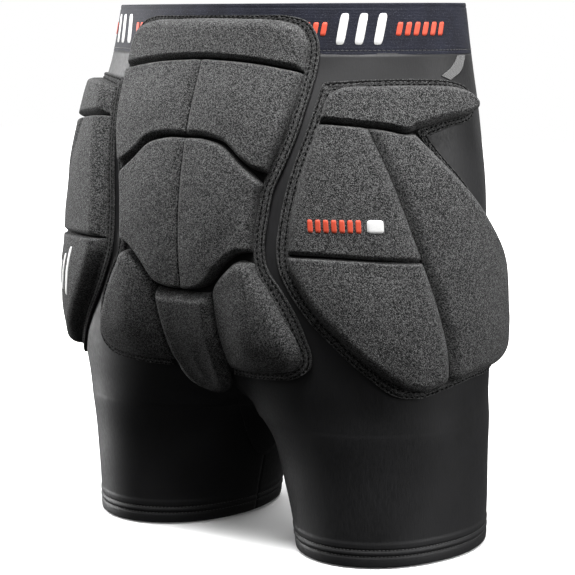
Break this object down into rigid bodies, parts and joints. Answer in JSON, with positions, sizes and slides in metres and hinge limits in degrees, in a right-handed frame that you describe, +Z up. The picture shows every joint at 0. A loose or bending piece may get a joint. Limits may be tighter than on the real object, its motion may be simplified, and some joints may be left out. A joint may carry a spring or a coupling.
{
  "type": "padded impact shorts",
  "caption": "Stretch shorts with an elastic waistband and thick stitched foam pads over the tailbone, seat and both hips.",
  "frame": {"origin": "centre of the waist opening in the plane of the waistband's top edge", "axes": "+Z up, the way the wearer stands; the wearer faces -Y, so the seat pad is at +Y; the wearer's left is +X"},
  "size_m": [0.4012, 0.2441, 0.422],
  "materials": {
    "waistband_elastic": "woven elastic, navy black with fine pale flecks",
    "facing": "brushed soft facing",
    "thread": "polyester thread, slight sheen",
    "band_mark": "flat transfer print, white and orange",
    "label": "satin label tape",
    "shell_fabric": "smooth stretch knit, soft sheen",
    "mesh": "fine open mesh",
    "pad_backing": "knit backing",
    "pad_border": "pressed cover fabric, double stitched",
    "pad_cover": "charcoal flecked stretch knit over foam",
    "pad_foam": "closed-cell foam",
    "print_orange": "flat rubber print",
    "print_white": "flat rubber print"
  },
  "bodies": {
    "seat": {"waistband_elastic": "waistband_elastic", "waistband_facing": "facing", "waistband_join_stitch": "thread", "seat_pad_stitching": "thread", "hip_pad_stitching_left": "thread", "hip_pad_stitching_right": "thread", "waistband_mark_left": "band_mark", "waistband_mark_right": "band_mark", "care_label": "label", "crotch_gusset": "shell_fabric", "front_panel_left": "shell_fabric", "front_panel_right": "shell_fabric", "side_panel_left": "shell_fabric", "side_panel_right": "shell_fabric", "back_panel_left": "shell_fabric", "back_panel_right": "shell_fabric", "thigh_crease_left": "shell_fabric", "thigh_crease_right": "shell_fabric", "mesh_vent_left": "mesh", "mesh_vent_right": "mesh", "seat_pad_backing": "pad_backing", "hip_pad_backing_left": "pad_backing", "hip_pad_backing_right": "pad_backing", "seat_pad_border": "pad_border", "hip_pad_border_left": "pad_border", "hip_pad_border_right": "pad_border", "seat_pad_cover": "pad_cover", "hip_pad_cover_left": "pad_cover", "hip_pad_cover_right": "pad_cover", "seat_strip_foam": "pad_foam", "seat_upper_foam_left": "pad_foam", "seat_upper_foam_right": "pad_foam", "seat_middle_foam_left": "pad_foam", "seat_middle_foam_right": "pad_foam", "seat_lower_foam_left": "pad_foam", "seat_lower_foam_right": "pad_foam", "seat_tongue_foam": "pad_foam", "hip_strip_foam_left": "pad_foam", "hip_strip_foam_right": "pad_foam", "hip_upper_foam_left": "pad_foam", "hip_upper_foam_right": "pad_foam", "hip_lower_foam_left": "pad_foam", "hip_lower_foam_right": "pad_foam", "hip_front_foam_left": "pad_foam", "hip_front_foam_right": "pad_foam", "hip_print_right": "print_orange", "hip_print_left": "print_white"},
    "left_leg": {"leg_sleeve_left": "shell_fabric", "leg_hem_left": "shell_fabric", "hem_stitching_left": "thread"},
    "right_leg": {"leg_sleeve_right": "shell_fabric", "leg_hem_right": "shell_fabric", "hem_stitching_right": "thread"}
  },
  "joints": [
    {"name": "left_leg_flex", "type": "hinge", "parent": "seat", "child": "left_leg", "pos_m": [0.105, 0.0022, -0.19], "axis": [-1, 0, 0], "range_deg": [-10, 45], "deforming": ["thigh_crease_left"]},
    {"name": "right_leg_flex", "type": "hinge", "parent": "seat", "child": "right_leg", "pos_m": [-0.105, 0.0022, -0.19], "axis": [-1, 0, 0], "range_deg": [-10, 45], "deforming": ["thigh_crease_right"]}
  ]
}
